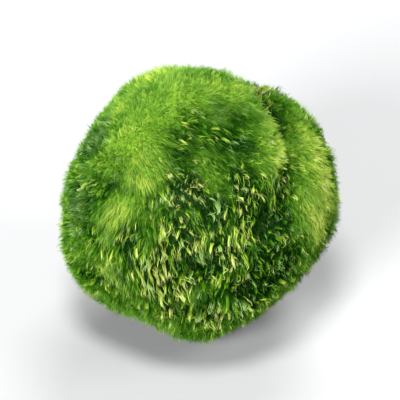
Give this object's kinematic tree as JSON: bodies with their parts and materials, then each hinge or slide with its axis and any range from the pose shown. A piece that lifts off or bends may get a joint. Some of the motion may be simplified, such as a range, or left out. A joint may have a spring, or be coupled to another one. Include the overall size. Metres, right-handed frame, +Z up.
{
  "type": "marimo moss ball",
  "caption": "Round ball of dense, fine green algae filaments with soft lobes and tufts, resting on a small flat spot.",
  "frame": {"origin": "on the surface that the ball rests on, under the middle of its bounding box", "axes": "+Z up; -Y is the side that the picture looks at from about 35 degrees above; +X is to its right"},
  "size_m": [0.046, 0.0456, 0.0439],
  "materials": {
    "green_coat": "soft wet coat of fine lime to dark green filaments, with a few straw coloured ones"
  },
  "bodies": {
    "root": {"moss_ball": "green_coat"}
  },
  "joints": []
}
